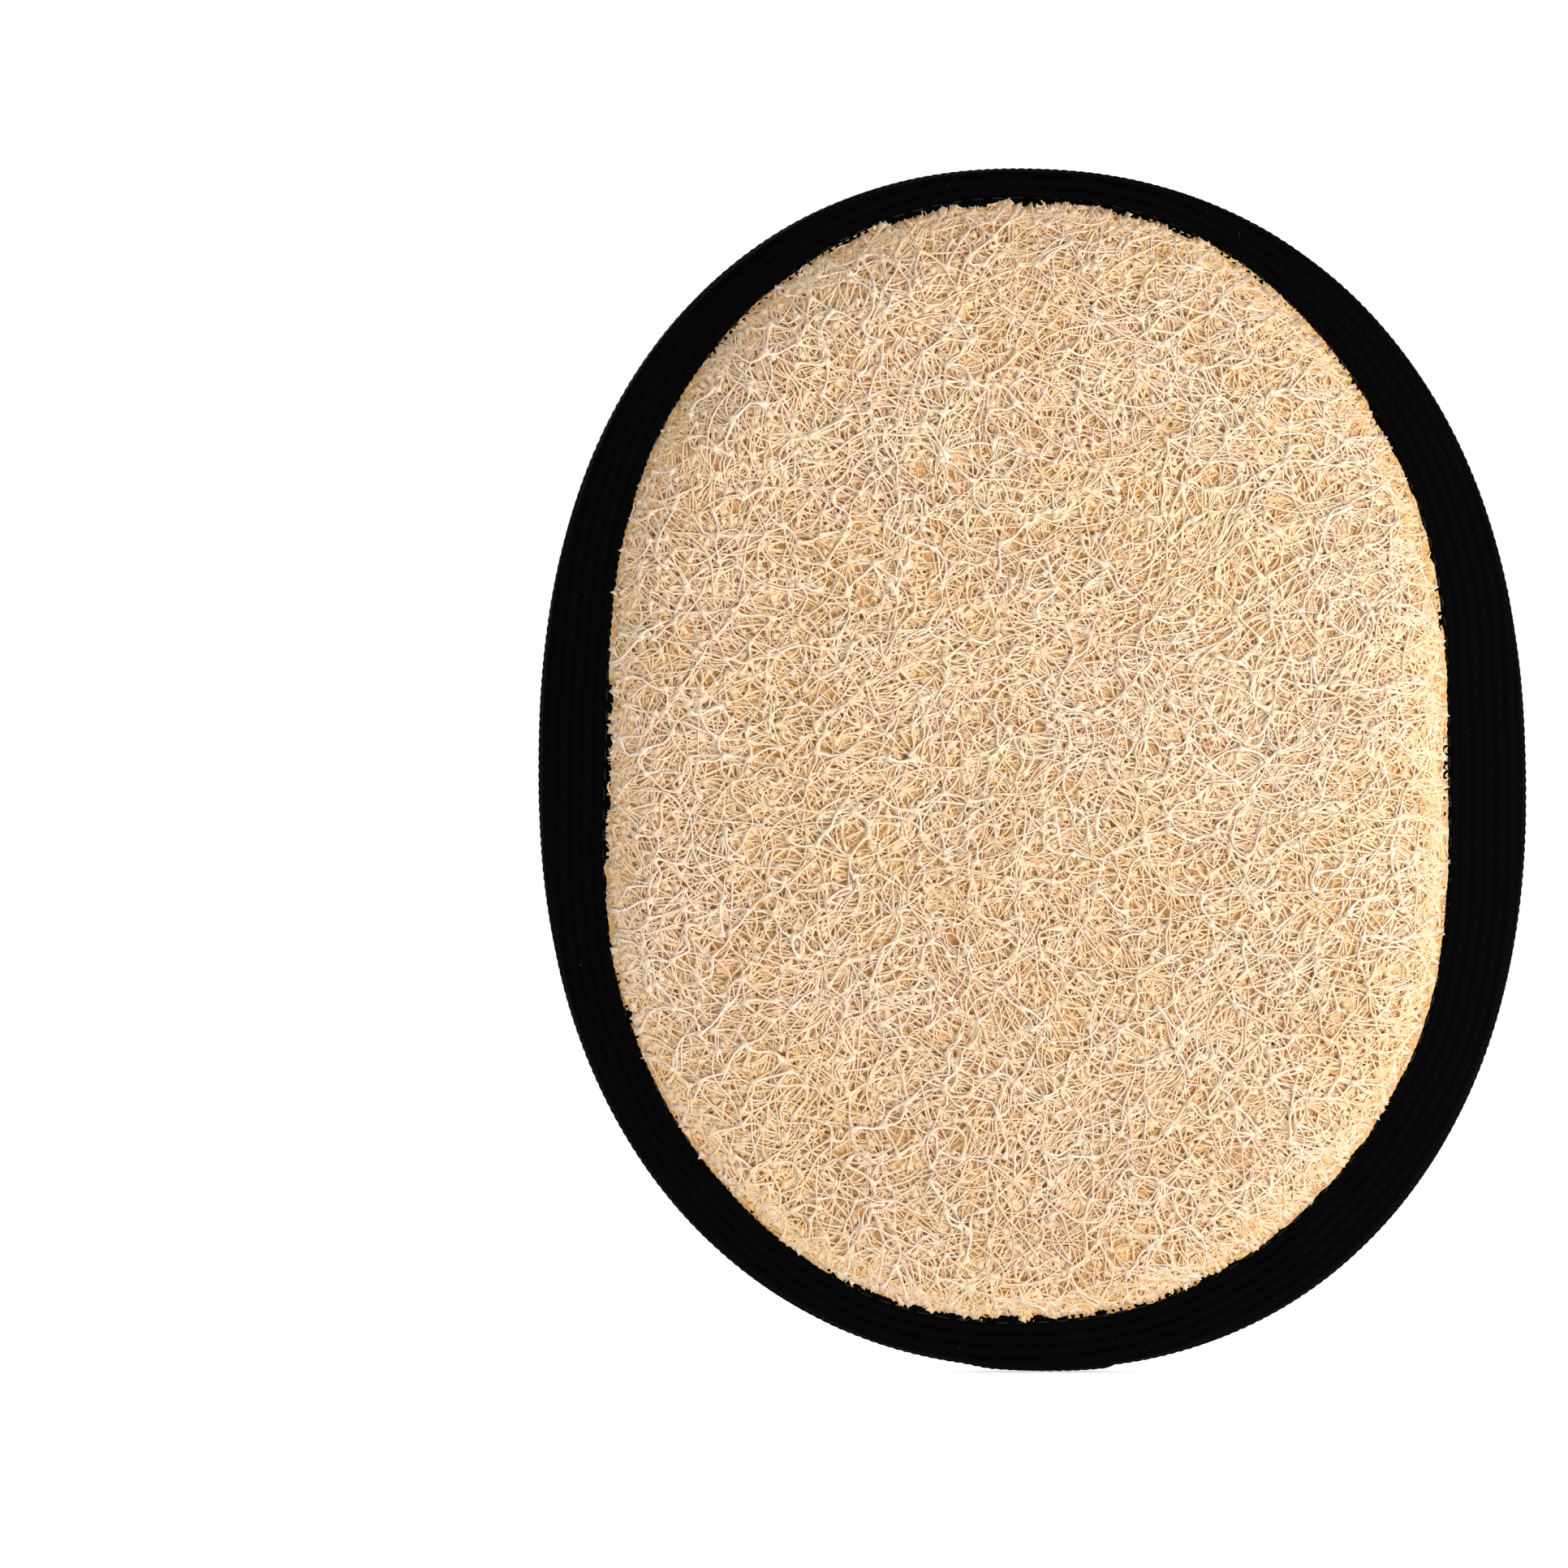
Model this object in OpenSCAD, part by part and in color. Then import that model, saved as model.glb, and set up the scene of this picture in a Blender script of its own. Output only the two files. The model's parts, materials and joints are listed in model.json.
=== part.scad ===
/* [Pad] */
// Overall width of the pad, across its binding
pad_w = 148; // [140:1:156]
// Overall height of the pad, across its binding
pad_h = 181; // [174:1:188]
// Squareness of the pad's outline, where 2 is an ellipse
pad_squareness = 2.15; // [2.05:0.05:2.35]
// Height of the pad's middle above the middle of the hand strap
pad_rise = 3.4; // [0:0.2:6]

/* [Loofah sheet] */
// Thickness of the loofah where the binding clamps it
loofah_edge_t = 2.4; // [2:0.1:3]
// Thickness of the loofah in its flat middle
loofah_crown_t = 10.8; // [9:0.2:12]
// Squareness of the part of the loofah that shows
loofah_squareness = 2.35; // [2.2:0.05:2.5]

/* [Terry cloth] */
// Thickness of the terry cloth where the binding clamps it
terry_edge_t = 2; // [1.8:0.1:2.2]
// Height of the terry pile in its flat middle
terry_crown_t = 6.5; // [6:0.1:7]

/* [Binding] */
// Thickness of the binding tape
tape_t = 1; // [0.8:0.1:1.2]
// Width of the binding on the loofah side, at the left and right
front_side_w = 12.2; // [10:0.2:14]
// Width of the binding on the loofah side, at the top and bottom
front_end_w = 7.4; // [6:0.2:9]
// Width of the binding on the terry side, at the left and right
back_side_w = 7.2; // [6.5:0.1:8]
// Width of the binding on the terry side, at the top and bottom
back_end_w = 6.6; // [6:0.1:7.5]
// Extra thickness where the end of the tape laps over its start
lap_t = 0.7; // [0.4:0.1:0.9]

/* [Hand strap] */
// Width of the elastic
strap_w = 35; // [30:1:38]
// Thickness of the elastic
strap_t = 1.2; // [1:0.1:1.4]
// Clear height between the terry pile and the strap at rest
slot_gap = 5; // [4.8:0.1:6]
// Half length of the strap's middle, which lies flat over the hand
strap_middle_half = 32; // [28:1:34]

/* [Hanging loop] */
// Width of the loop's tape
loop_w = 14.6; // [12:0.2:16]
// Thickness of the loop's tape
loop_t = 0.8; // [0.7:0.1:0.9]
// Distance of the loop's middle from the pad's centre line
loop_x = 4.6; // [0:0.2:8]
// Distance from the loop's root to the middle of its eye
loop_reach = 16.4; // [16:0.2:18]
// Radius of the loop's eye
eye_r = 2.2; // [2:0.1:2.4]
// Lean of the hanging loop away from the pad, in degrees
loop_lean = 16.5; // [16:0.5:18]

/* [Stitches] */
// Distance from one binding stitch to the next
stitch_pitch = 3; // [2.6:0.1:4]
// Diameter of the sewing thread
thread_d = 0.36; // [0.3:0.02:0.4]

/* [Hidden] */

// Heights are counted along +Y from the seam plane, where the loofah meets the terry cloth.
// The origin is the middle of the hand slot, between the pile and the strap.
seam_y = -(terry_crown_t + slot_gap / 2);
steps = 72;
half_w = pad_w / 2;
half_h = pad_h / 2;
rim_in = tape_t + 0.4;          // from the binding's outer edge to the layers inside it
front_face = -loofah_edge_t - tape_t;
back_face = terry_edge_t + tape_t;

// Half extents of the pad's outline, brought in by the given widths at the sides and ends
function side_edge(z, side_in, end_in) =
    (half_w - side_in) * pow(1 - pow(abs(z) / (half_h - end_in), pad_squareness), 1 / pad_squareness);
function end_edge(x, side_in, end_in) =
    (half_h - end_in) * pow(1 - pow(abs(x) / (half_w - side_in), pad_squareness), 1 / pad_squareness);

// The strap's ends lie in pockets pressed into the terry cloth under the binding, and rise
// inside the binding's edge, which is nearest at the strap's lower corner.
edge_play = 0.2;
tab_drop = terry_edge_t - strap_t;
tab_top = 4.6;
tab_corner = strap_w / 2 + pad_rise;
tab_outer = side_edge(tab_corner, rim_in, rim_in) - edge_play;
tab_in = side_edge(tab_corner, back_side_w, back_end_w) - edge_play;
tab_flat = [tab_in - 1, tab_in - 3];
hinge_gap = 0.35;
hinge_x = tab_flat[1] - strap_t / 2 - hinge_gap;
hinge_s = tab_top - strap_t / 2;
strap_s = terry_crown_t + slot_gap + strap_t / 2;
side_run = hinge_x - strap_middle_half - 0.7;
side_angle = atan2(strap_s - hinge_s, side_run);
side_len = side_run / cos(side_angle);

// The loop's root lies in a pocket of its own, under the binding at the top.
root_t = 2 * loop_t;
root_top = back_face;
root_corner = loop_x + loop_w / 2;
root_outer = end_edge(root_corner, rim_in, rim_in) - edge_play;
root_in = end_edge(root_corner, back_side_w, back_end_w) - edge_play;
root_flat = [root_in - 0.8, root_in - 2.4];
pivot_z = root_flat[1] - 0.4;
pivot_s = root_top + thread_d + root_t / 2 + 0.44;
neck = 8;                       // where the loop's two layers begin to part
eye_outer = eye_r + loop_t;

tack_len = 1.5;
pocket_play = 0.15;

black = [0.06, 0.06, 0.07];
elastic_black = [0.09, 0.09, 0.10];
thread_black = [0.14, 0.14, 0.15];
cream = [0.93, 0.85, 0.68];
white = [0.94, 0.93, 0.93];

// ---- outlines, in the pad's own plane: [x, z] about the pad's middle ----

function signed_power(v, p) = sign(v) * pow(abs(v), p);
function oval_point(a, b, n, t) = [a * signed_power(cos(t), 2 / n), b * signed_power(sin(t), 2 / n)];
function oval(a, b, n) = [for (i = [0 : steps - 1]) oval_point(a, b, n, 360 * i / steps)];

function rim(inset = 0) = oval(half_w - inset, half_h - inset, pad_squareness);
function front_edge(inset = 0) =
    oval(half_w - front_side_w - inset, half_h - front_end_w - inset, loofah_squareness);
function back_edge(inset = 0) =
    oval(half_w - back_side_w - inset, half_h - back_end_w - inset, pad_squareness);

// The tape's end laps over its start in a short stretch at the bottom of the pad.
lap_steps = [53, 54, 55];
function lap_rise(t) =
    let (step = t * steps / 360) lap_t * max(0, min(1, step - lap_steps[0] + 1, lap_steps[2] + 1 - step));
function lapped(outline, grow) =
    [for (i = [0 : steps - 1]) len(search(i, lap_steps)) > 0 ? outline[i] * (1 + grow / half_h) : outline[i]];
function lap_level(i, level, grow) = len(search(i, lap_steps)) > 0 ? level + grow : level;

// ---- solids that repeat ----

function ring_points(outline, level) =
    [for (p = outline) [p[0], seam_y + level, pad_rise + p[1]]];
function band(a, b) = [for (i = [0 : steps - 1]) let (j = (i + 1) % steps)
    each [[a + i, a + j, b + i], [a + j, b + j, b + i]]];

// A closed solid through outlines, given from the lowest level to the highest
module layered(outlines, levels) {
    top = (len(outlines) - 1) * steps;
    polyhedron(
        [for (k = [0 : len(outlines) - 1]) each ring_points(outlines[k], levels[k])],
        concat(
            [[for (i = [0 : steps - 1]) steps - 1 - i]],
            [for (k = [0 : len(outlines) - 2]) each band(k * steps, (k + 1) * steps)],
            [[for (i = [0 : steps - 1]) top + i]]),
        convexity = 4);
}

// A slab with the given outline in X and height, as wide as width in Z
module strap_profile(points, width) {
    translate([0, seam_y, -width / 2]) linear_extrude(width) polygon(points);
}

// A length of thread lying on the pad, along the direction given in the pad's plane
module thread_at(point, level, angle, length) {
    translate([point[0], seam_y + level, point[1]]) rotate([0, -angle, 0]) rotate([0, 90, 0])
        cylinder(d = thread_d, h = length, center = true, $fn = 16);
}

// A bar tack: thread laid to and fro across a line, so that each stitch leans the other way
module bar_tack(count, pitch, lean) {
    for (i = [0 : count - 1])
        translate([(i - (count - 1) / 2) * pitch, 0, 0])
            rotate([0, 90 + (i % 2 == 0 ? lean : -lean), 0]) rotate([0, 90, 0])
                cylinder(d = thread_d, h = tack_len, center = true, $fn = 16);
}

// ---- the pad ----

module loofah_sheet() {
    color(cream) layered(
        [front_edge(28), front_edge(20), front_edge(12), front_edge(6), front_edge(2.5),
            front_edge(0.6), front_edge(0.4), rim(rim_in), rim(rim_in)],
        [-loofah_crown_t, 0.3 - loofah_crown_t, 1.1 - loofah_crown_t, 2.5 - loofah_crown_t,
            4.4 - loofah_crown_t, front_face - 0.2, -loofah_edge_t, -loofah_edge_t, 0]);
}

module terry_body() {
    layered(
        [rim(rim_in), rim(rim_in), back_edge(0.3), back_edge(2), back_edge(5),
            back_edge(12), back_edge(22), back_edge(30)],
        [0, terry_edge_t, terry_edge_t, terry_edge_t + 0.2, terry_edge_t + 0.9,
            terry_crown_t - 1.6, terry_crown_t - 0.4, terry_crown_t]);
}

module strap_pocket(side) {
    inner = hinge_x - 0.2;
    outer = half_w + 2;
    translate([side > 0 ? inner : -outer, seam_y + tab_drop, -strap_w / 2 - pocket_play])
        cube([outer - inner, 6, strap_w + 2 * pocket_play]);
}

module loop_pocket() {
    low = pivot_z - 0.6;
    translate([loop_x - loop_w / 2 - pocket_play, seam_y + terry_edge_t - root_t, pad_rise + low])
        cube([loop_w + 2 * pocket_play, 6, half_h + 2 - low]);
}

module terry_cloth() {
    color(white) difference() {
        terry_body();
        strap_pocket(1);
        strap_pocket(-1);
        loop_pocket();
    }
}

module edge_binding() {
    section = [
        [front_edge(), front_face, -lap_t], [rim(1.6), front_face, -lap_t],
        [rim(0.5), front_face + 0.5, -lap_t], [rim(), front_face + 1.7, 0],
        [rim(), back_face - 1.7, 0], [rim(0.5), back_face - 0.5, lap_t],
        [rim(1.6), back_face, lap_t], [back_edge(), back_face, lap_t],
        [back_edge(), terry_edge_t, 0], [rim(rim_in), terry_edge_t, 0],
        [rim(rim_in), -loofah_edge_t, 0], [front_edge(), -loofah_edge_t, 0]];
    rings = len(section);
    outer_rings = [1, 2, 3, 4, 5, 6];
    function outline(k) = len(search(k, outer_rings)) > 0 ? lapped(section[k][0], lap_t) : section[k][0];
    color(black) polyhedron(
        [for (k = [0 : rings - 1]) let (o = outline(k)) for (i = [0 : steps - 1])
            [o[i][0], seam_y + lap_level(i, section[k][1], section[k][2]), pad_rise + o[i][1]]],
        [for (k = [0 : rings - 1]) each band(k * steps, ((k + 1) % rings) * steps)],
        convexity = 6);
}

// ---- the hand strap ----

module strap_end(side) {
    profile = [[tab_outer, tab_drop], [tab_outer, terry_edge_t], [tab_in, terry_edge_t],
        [tab_flat[0], tab_top], [tab_flat[1], tab_top], [tab_flat[1], tab_top - strap_t],
        [tab_flat[0] - 0.4, tab_top - strap_t], [tab_in - 0.9, tab_drop]];
    color(elastic_black) strap_profile([for (p = profile) [side * p[0], p[1]]], strap_w);
}

module strap_side(side) {
    color(elastic_black) translate([side * hinge_x, seam_y + hinge_s, 0])
        rotate([0, 0, side > 0 ? 180 - side_angle : side_angle])
            translate([0, 0, -strap_w / 2]) linear_extrude(strap_w) union() {
                circle(d = strap_t, $fn = 32);
                translate([0, -strap_t / 2]) square([side_len, strap_t]);
            }
}

module strap_end_left() { strap_end(-1); }
module strap_end_right() { strap_end(1); }
module strap_side_left() { strap_side(-1); }
module strap_side_right() { strap_side(1); }

module strap_middle() {
    color(elastic_black) translate([-strap_middle_half, seam_y + strap_s - strap_t / 2, -strap_w / 2])
        cube([2 * strap_middle_half, strap_t, strap_w]);
}

// ---- the hanging loop ----

module loop_profile(width) {
    translate([loop_x - width / 2, seam_y, pad_rise]) rotate([90, 0, 90]) linear_extrude(width) children();
}

module loop_root() {
    low = terry_edge_t - root_t;
    color(black) loop_profile(loop_w) polygon([[low, root_outer], [terry_edge_t, root_outer],
        [terry_edge_t, root_in], [root_top, root_flat[0]], [root_top, root_flat[1]],
        [root_top - root_t, root_flat[1]], [low, root_flat[0] - 0.2]]);
}

module hanging_loop() {
    // The sides of the loop touch the eye's outer circle where they leave it.
    rise = loop_reach - neck;
    touch = asin(eye_outer / rise);
    half_t = root_t / 2;
    color(black) loop_profile(loop_w) translate([pivot_s, pivot_z]) rotate(loop_lean) difference() {
        union() {
            circle(r = half_t, $fn = 32);
            translate([-half_t, -neck - 2]) square([root_t, neck + 2]);
            polygon([[half_t, -neck], [-half_t, -neck],
                [-eye_outer * cos(touch), -loop_reach + eye_outer * sin(touch)],
                [eye_outer * cos(touch), -loop_reach + eye_outer * sin(touch)]]);
            translate([0, -loop_reach]) circle(r = eye_outer, $fn = 64);
        }
        translate([0, -loop_reach]) circle(r = eye_r, $fn = 64);
    }
}

// ---- the threads ----

// The seam that holds the binding runs just inside the edge of its terry side.
seam_inset = 1.6;
function seam_point(t) = oval_point(half_w - back_side_w + seam_inset, half_h - back_end_w + seam_inset,
    pad_squareness, t);
seam_samples = 360;
seam_table = [for (i = 0, run = 0; i <= seam_samples;
    run = run + norm(seam_point(i + 1) - seam_point(i)), i = i + 1) [run, i]];
seam_length = seam_table[seam_samples][0];
stitch_count = round(seam_length / stitch_pitch);

// A row of stitches on one face of the binding; out is -1 on the loofah side and 1 on the terry side.
// Where the tape laps over itself, a stitch lies as high as the higher of its two ends.
stitch_turn = 1;                // half a stitch, in degrees round the seam
module binding_stitches(face, out) {
    for (i = [0 : stitch_count - 1]) {
        t = lookup((i + 0.5) * seam_length / stitch_count, seam_table);
        along = seam_point(t + 0.5) - seam_point(t - 0.5);
        rise = max(lap_rise(t - stitch_turn), lap_rise(t + stitch_turn));
        thread_at(seam_point(t) + [0, pad_rise], face + out * (rise + thread_d / 2),
            atan2(along[1], along[0]), stitch_pitch * 0.72);
    }
}

module binding_stitches_front() {
    color(thread_black) binding_stitches(front_face, -1);
}

module binding_stitches_back() {
    color(thread_black) binding_stitches(back_face, 1);
}

module strap_tack(side) {
    x = (tab_flat[0] + tab_flat[1]) / 2;
    color(thread_black) translate([side * x, seam_y + tab_top + thread_d / 2, 0])
        rotate([0, 90, 0]) bar_tack(30, 1.1, 20);
}

module strap_tack_left() { strap_tack(-1); }
module strap_tack_right() { strap_tack(1); }

module loop_tack() {
    z = (root_flat[0] + root_flat[1]) / 2;
    color(thread_black) translate([loop_x, seam_y + root_top + thread_d / 2, pad_rise + z]) bar_tack(12, 1.1, 20);
}

loofah_sheet();
terry_cloth();
edge_binding();
strap_end_left();
strap_side_left();
strap_middle();
strap_side_right();
strap_end_right();
loop_root();
hanging_loop();
binding_stitches_front();
binding_stitches_back();
strap_tack_left();
strap_tack_right();
loop_tack();
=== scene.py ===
import json
import math

import bpy
import numpy as np
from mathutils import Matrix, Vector


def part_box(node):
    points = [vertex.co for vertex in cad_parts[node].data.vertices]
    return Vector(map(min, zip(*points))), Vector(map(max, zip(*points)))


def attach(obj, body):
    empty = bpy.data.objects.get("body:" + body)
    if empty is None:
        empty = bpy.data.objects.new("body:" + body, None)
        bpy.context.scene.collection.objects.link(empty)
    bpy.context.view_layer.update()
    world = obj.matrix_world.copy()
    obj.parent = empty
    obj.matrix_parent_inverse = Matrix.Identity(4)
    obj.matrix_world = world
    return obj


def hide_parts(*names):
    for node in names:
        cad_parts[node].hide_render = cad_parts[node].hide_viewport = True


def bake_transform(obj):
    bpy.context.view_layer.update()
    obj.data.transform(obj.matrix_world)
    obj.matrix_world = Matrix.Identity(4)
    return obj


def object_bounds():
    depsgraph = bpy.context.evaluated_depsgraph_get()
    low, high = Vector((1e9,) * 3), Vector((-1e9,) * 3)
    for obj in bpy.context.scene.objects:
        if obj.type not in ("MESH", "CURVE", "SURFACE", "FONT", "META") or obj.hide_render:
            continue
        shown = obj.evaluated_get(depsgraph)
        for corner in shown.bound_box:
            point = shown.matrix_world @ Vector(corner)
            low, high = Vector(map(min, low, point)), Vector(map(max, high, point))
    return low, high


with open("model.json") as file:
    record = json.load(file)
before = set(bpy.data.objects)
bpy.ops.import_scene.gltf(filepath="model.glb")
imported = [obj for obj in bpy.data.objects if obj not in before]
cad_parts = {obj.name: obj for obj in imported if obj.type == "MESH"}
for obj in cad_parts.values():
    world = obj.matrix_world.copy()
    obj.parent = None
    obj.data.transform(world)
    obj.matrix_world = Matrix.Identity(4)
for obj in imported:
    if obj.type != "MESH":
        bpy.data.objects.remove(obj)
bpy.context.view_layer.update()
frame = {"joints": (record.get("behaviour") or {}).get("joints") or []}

# Lengths are in millimetres until a mesh is written.
MM = 0.001
TURN = 2 * math.pi


def box_mm(node):
    low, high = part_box(node)
    return np.array(low) / MM, np.array(high) / MM


def joint_named(name):
    return next(joint for joint in frame["joints"] if joint["name"] == name)


# ---- sizes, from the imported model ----

LOOFAH_LOW, LOOFAH_HIGH = box_mm("loofah_sheet")
STRAP_LOW, STRAP_HIGH = box_mm("strap_middle")
LOOP_LOW, LOOP_HIGH = box_mm("hanging_loop")
BINDING_HIGH = box_mm("edge_binding")[1]
HINGE = np.array(joint_named("strap_swing_right")["pos_m"]) / MM
PIVOT = np.array(joint_named("loop_swing")["pos_m"]) / MM

SEAM_Y = float(LOOFAH_HIGH[1])
CENTRE_Z = float(LOOFAH_LOW[2] + LOOFAH_HIGH[2]) / 2
HALF_W = float(BINDING_HIGH[0])
HALF_H = float(BINDING_HIGH[2]) - CENTRE_Z
LOOFAH_CROWN = SEAM_Y - float(LOOFAH_LOW[1])
TERRY_CROWN = float(box_mm("terry_cloth")[1][1]) - SEAM_Y
STRAP_HALF_W = float(STRAP_HIGH[2])
STRAP_MIDDLE = float(STRAP_HIGH[0])
STRAP_T = float(STRAP_HIGH[1] - STRAP_LOW[1])
STRAP_S = float(STRAP_HIGH[1] + STRAP_LOW[1]) / 2 - SEAM_Y
HINGE_X, HINGE_S = float(HINGE[0]), float(HINGE[1]) - SEAM_Y
STRAP_SLOPE = (STRAP_S - HINGE_S) / (HINGE_X - STRAP_MIDDLE)
LOOP_X, PIVOT_S, PIVOT_Z = float(PIVOT[0]), float(PIVOT[1]) - SEAM_Y, float(PIVOT[2])
LOOP_HALF_W = float(LOOP_HIGH[0] - LOOP_LOW[0]) / 2
LOOP_TOP = float(box_mm("loop_root")[1][2])
STRAP_END = float(box_mm("strap_end_right")[1][0]) - 0.6

# The outline is a superellipse, a little uneven as sewn work is. Each term is
# (how many times it repeats round the pad, its size, the angle of its peak in degrees).
SQUARENESS = 2.15
OPENING_SQUARENESS = 2.35
RIM_TERMS = ((1, 1.1, 272), (2, 0.7, 146), (4, 0.45, 40))
OPENING_TERMS = ((1, 1.1, 190), (2, 0.8, 174), (3, 0.5, 104), (6, 0.7, 28))
FRONT_SIDE_W, FRONT_END_W = 12.5, 7.8
BACK_SIDE_W, BACK_END_W = 7.2, 6.6
FRONT_FACE, BACK_FACE = 3.4, 3.0
LOOFAH_EDGE, TERRY_EDGE = 2.4, 2.0
TAPE_T = 0.9
WALE = 1.75
SEAM_INSET = 1.6
# The tape's end laps over its start at the bottom: from and to in degrees, and how far it stands up.
LAP_FROM, LAP_TO, LAP_RISE = 263.0, 277.0, 0.35
STRAP_RIBS = 19
# How far the loofah's fibres reach over the binding, and how far in from there they reach full depth
OVERHANG, EASE = 0.6, 4
# How much painted shade darkens a fibre for each millimetre of depth, and the least share of one that is
# kept when cut
DEPTH_SHADE, SHORTEST_CUT = 0.26, 0.12


# ---- small helpers ----


def srgb(red, green, blue):
    """A display colour, 0 to 255, as the linear colour that a shader takes."""
    values = [c / 255 for c in (red, green, blue)]
    return tuple(c / 12.92 if c <= 0.04045 else ((c + 0.055) / 1.055) ** 2.4 for c in values) + (1.0,)


def unit(v):
    return v / np.maximum(np.linalg.norm(v, axis=-1, keepdims=True), 1e-9)


def smooth_step(value):
    t = np.clip(value, 0, 1)
    return t * t * (3 - 2 * t)


def uneven(x, z, wavelength, rng, waves=9):
    """A smooth random field over the pad, from about -1 to 1, with bumps of about one wavelength."""
    total = np.zeros(np.broadcast(x, z).shape)
    for _ in range(waves):
        heading = rng.uniform(0, TURN)
        length = wavelength * rng.uniform(0.75, 1.5)
        phase = rng.uniform(0, TURN)
        total = total + np.cos(TURN * (x * math.cos(heading) + z * math.sin(heading)) / length + phase)
    return total / math.sqrt(waves)


def superellipse(turn, a, b, n):
    return ((np.abs(np.cos(turn)) / a) ** n + (np.abs(np.sin(turn)) / b) ** n) ** (-1 / n)


def wobble(turn, terms):
    return sum(size * np.cos(count * (turn - math.radians(peak))) for count, size, peak in terms)


def rim_radius(turn):
    return superellipse(turn, HALF_W, HALF_H, SQUARENESS) + wobble(turn, RIM_TERMS)


def front_radius(turn):
    plain = superellipse(turn, HALF_W - FRONT_SIDE_W, HALF_H - FRONT_END_W, OPENING_SQUARENESS)
    return plain + wobble(turn, OPENING_TERMS)


def back_radius(turn):
    plain = superellipse(turn, HALF_W - BACK_SIDE_W, HALF_H - BACK_END_W, SQUARENESS)
    return plain + wobble(turn, RIM_TERMS)


def polar(x, z):
    """Angle and distance from the pad's middle, for x and z in the row frame."""
    return np.arctan2(z - CENTRE_Z, x), np.hypot(x, z - CENTRE_Z)


def front_inset(x, z):
    turn, away = polar(x, z)
    return front_radius(turn) - away


def back_inset(x, z):
    turn, away = polar(x, z)
    return back_radius(turn) - away


def lap_height(turn):
    """How far the lap raises the tape: a blunt cut on one side, a long ease on the other."""
    degrees = np.degrees(turn) % 360
    return LAP_RISE * smooth_step((degrees - LAP_FROM) / 3.5) * (1 - smooth_step((degrees - LAP_TO) / 0.8))


def at_level(x, z, level):
    """Points at a level counted from the seam plane, positive towards the strap."""
    x, z, level = np.broadcast_arrays(x, z, level)
    return np.stack([x, SEAM_Y + level, z], axis=-1)


# ---- meshes ----


def new_mesh(name, points, faces, material, weave=None, tone=None, caps=None):
    """A mesh piece from points in millimetres and lists of faces, each list with one number of corners.
    Caps are faces that meet the rest at a crisp edge."""
    smooth = sum(len(f) for f in faces)
    faces = faces + ([] if caps is None else [caps])
    mesh = bpy.data.meshes.new(name)
    points = np.ascontiguousarray(points, dtype=np.float32).reshape(-1, 3) * MM
    mesh.vertices.add(len(points))
    mesh.vertices.foreach_set("co", points.ravel())
    corners = np.concatenate([f.ravel() for f in faces]).astype(np.int32)
    sizes = np.concatenate([np.full(len(f), f.shape[1]) for f in faces])
    mesh.loops.add(len(corners))
    mesh.loops.foreach_set("vertex_index", corners)
    mesh.polygons.add(len(sizes))
    mesh.polygons.foreach_set("loop_start", (np.cumsum(sizes) - sizes).astype(np.int32))
    mesh.polygons.foreach_set("use_smooth", np.arange(len(sizes)) < smooth)
    mesh.update(calc_edges=True)
    if weave is not None:
        held = mesh.attributes.new("weave", "FLOAT_VECTOR", "POINT")
        held.data.foreach_set("vector", np.ascontiguousarray(weave, dtype=np.float32).ravel())
    if tone is not None:
        held = mesh.attributes.new("tone", "FLOAT", "POINT")
        held.data.foreach_set("value", np.ascontiguousarray(tone, dtype=np.float32).ravel())
    mesh.materials.append(material)
    piece = bpy.data.objects.new(name, mesh)
    bpy.context.scene.collection.objects.link(piece)
    return piece


def grid_faces(rows, columns, ring_rows=False):
    """Quads over a grid of points whose columns close into rings, and whose rows may as well."""
    i = np.arange(rows if ring_rows else rows - 1)
    j = np.arange(columns)
    i, j = np.meshgrid(i, j, indexing="ij")
    below, beside = (i + 1) % rows, (j + 1) % columns
    here, there = i * columns, below * columns
    return np.stack([here + j, here + beside, there + beside, there + j], -1).reshape(-1, 4)


def end_caps(grid):
    """A middle point for each end of a grid of rings, and the faces that close both ends."""
    rows, columns = grid.shape[:2]
    middles = np.stack([grid[0].mean(0), grid[-1].mean(0)])
    faces = []
    i = np.arange(columns)
    for end, (start, step) in enumerate(((0, -1), ((rows - 1) * columns, 1))):
        middle = np.full(columns, rows * columns + end)
        faces.append(np.stack([start + i, start + (i + step) % columns, middle], -1))
    return middles, np.concatenate(faces)


def tubes(paths, radii, sides=3):
    """Closed tubes along many paths at once: paths is (tubes, points, 3). Radii are (tubes, points), or
    (tubes, points, sides) for an uneven section."""
    count, long = paths.shape[:2]
    along = unit(np.gradient(paths, axis=1))
    side = unit(np.cross(along, np.array([0.31, 0.93, 0.19])))
    out = np.cross(side, along)
    turns = TURN * np.arange(sides) / sides
    ring = (np.cos(turns)[:, None] * out[:, :, None, :]) + (np.sin(turns)[:, None] * side[:, :, None, :])
    radii = radii[..., None] if radii.ndim == 2 else radii
    points = paths[:, :, None, :] + radii[..., None] * ring
    index = np.arange(count * long * sides).reshape(count, long, sides)
    here, there = index[:, :-1], index[:, 1:]
    quads = np.stack([here, np.roll(here, -1, 2), np.roll(there, -1, 2), there], -1).reshape(-1, 4)
    ends = np.concatenate([index[:, 0, ::-1], index[:, -1]])
    return points.reshape(-1, 3), [quads, ends]


def tube_piece(name, paths, radii, tone, material, sides=3):
    points, faces = tubes(paths, radii, sides)
    spread = np.broadcast_to(tone[:, :, None], tone.shape + (sides,))
    return new_mesh(name, points, faces, material, tone=spread)


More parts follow.
